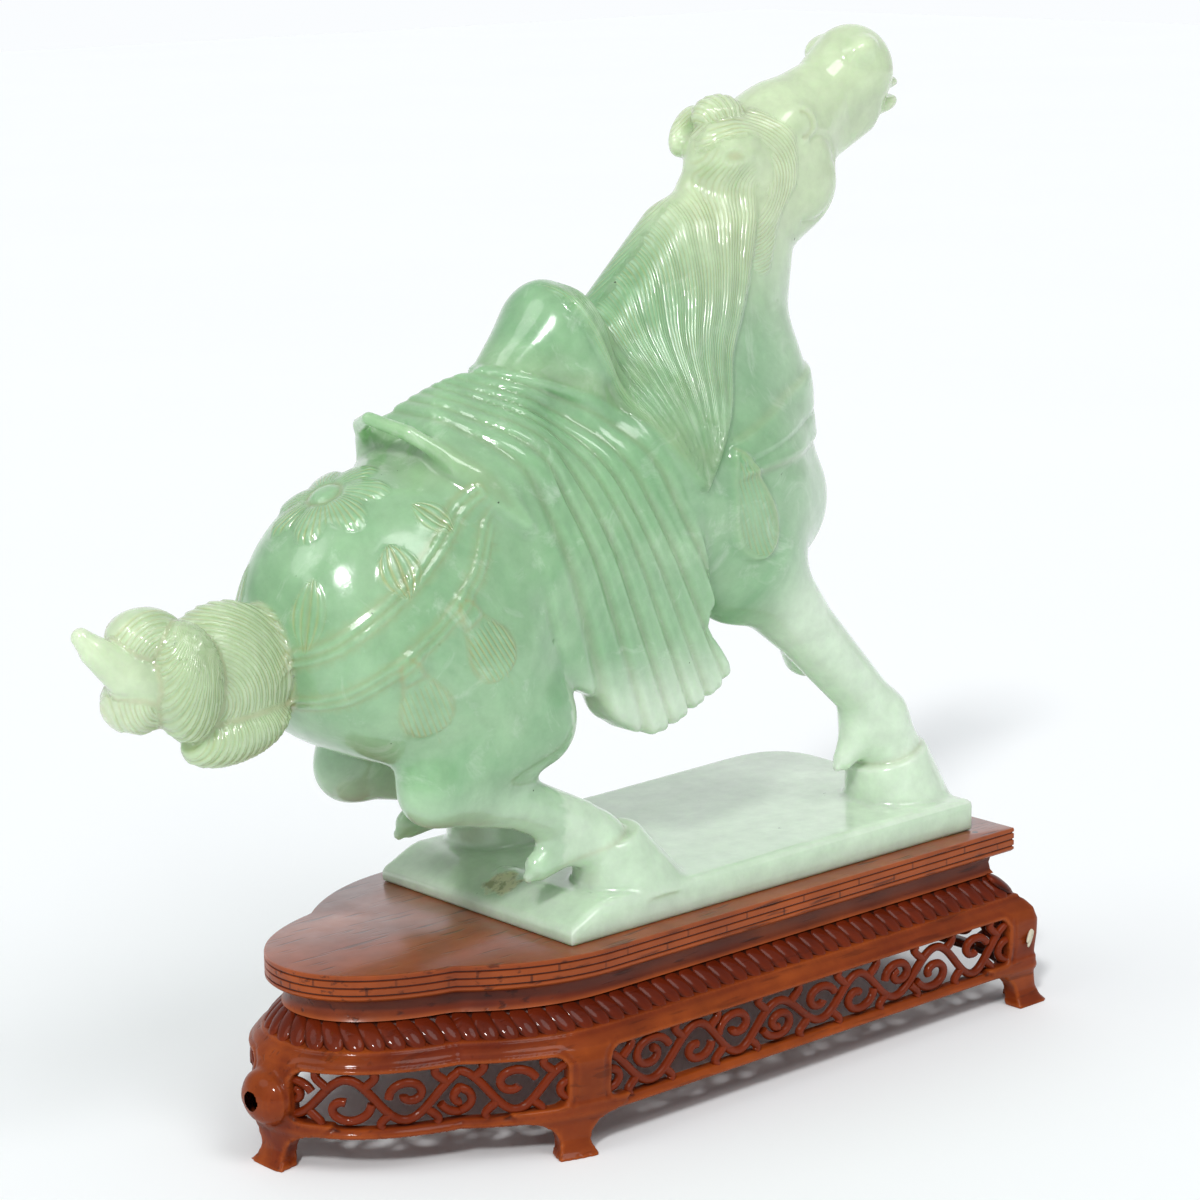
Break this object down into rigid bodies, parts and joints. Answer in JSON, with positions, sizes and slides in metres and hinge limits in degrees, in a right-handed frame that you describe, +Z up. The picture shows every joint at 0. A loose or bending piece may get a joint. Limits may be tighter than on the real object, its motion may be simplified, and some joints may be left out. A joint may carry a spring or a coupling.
{
  "type": "horse statue",
  "caption": "Carved pale green stone horse crouching on a thin slab, saddled, with a knotted tail, on a pierced wooden stand with short feet.",
  "frame": {"origin": "middle of the whole work's box, on the surface the stand's feet rest on", "axes": "+X towards the horse's head, +Y towards its left side, +Z up"},
  "size_m": [0.2578, 0.0958, 0.2447],
  "materials": {
    "jade": "polished translucent pale green stone",
    "lacquered_wood": "reddish brown lacquered hardwood"
  },
  "bodies": {
    "root": {"jade_horse": "jade", "stand_top": "lacquered_wood", "stand_base": "lacquered_wood"}
  },
  "joints": []
}
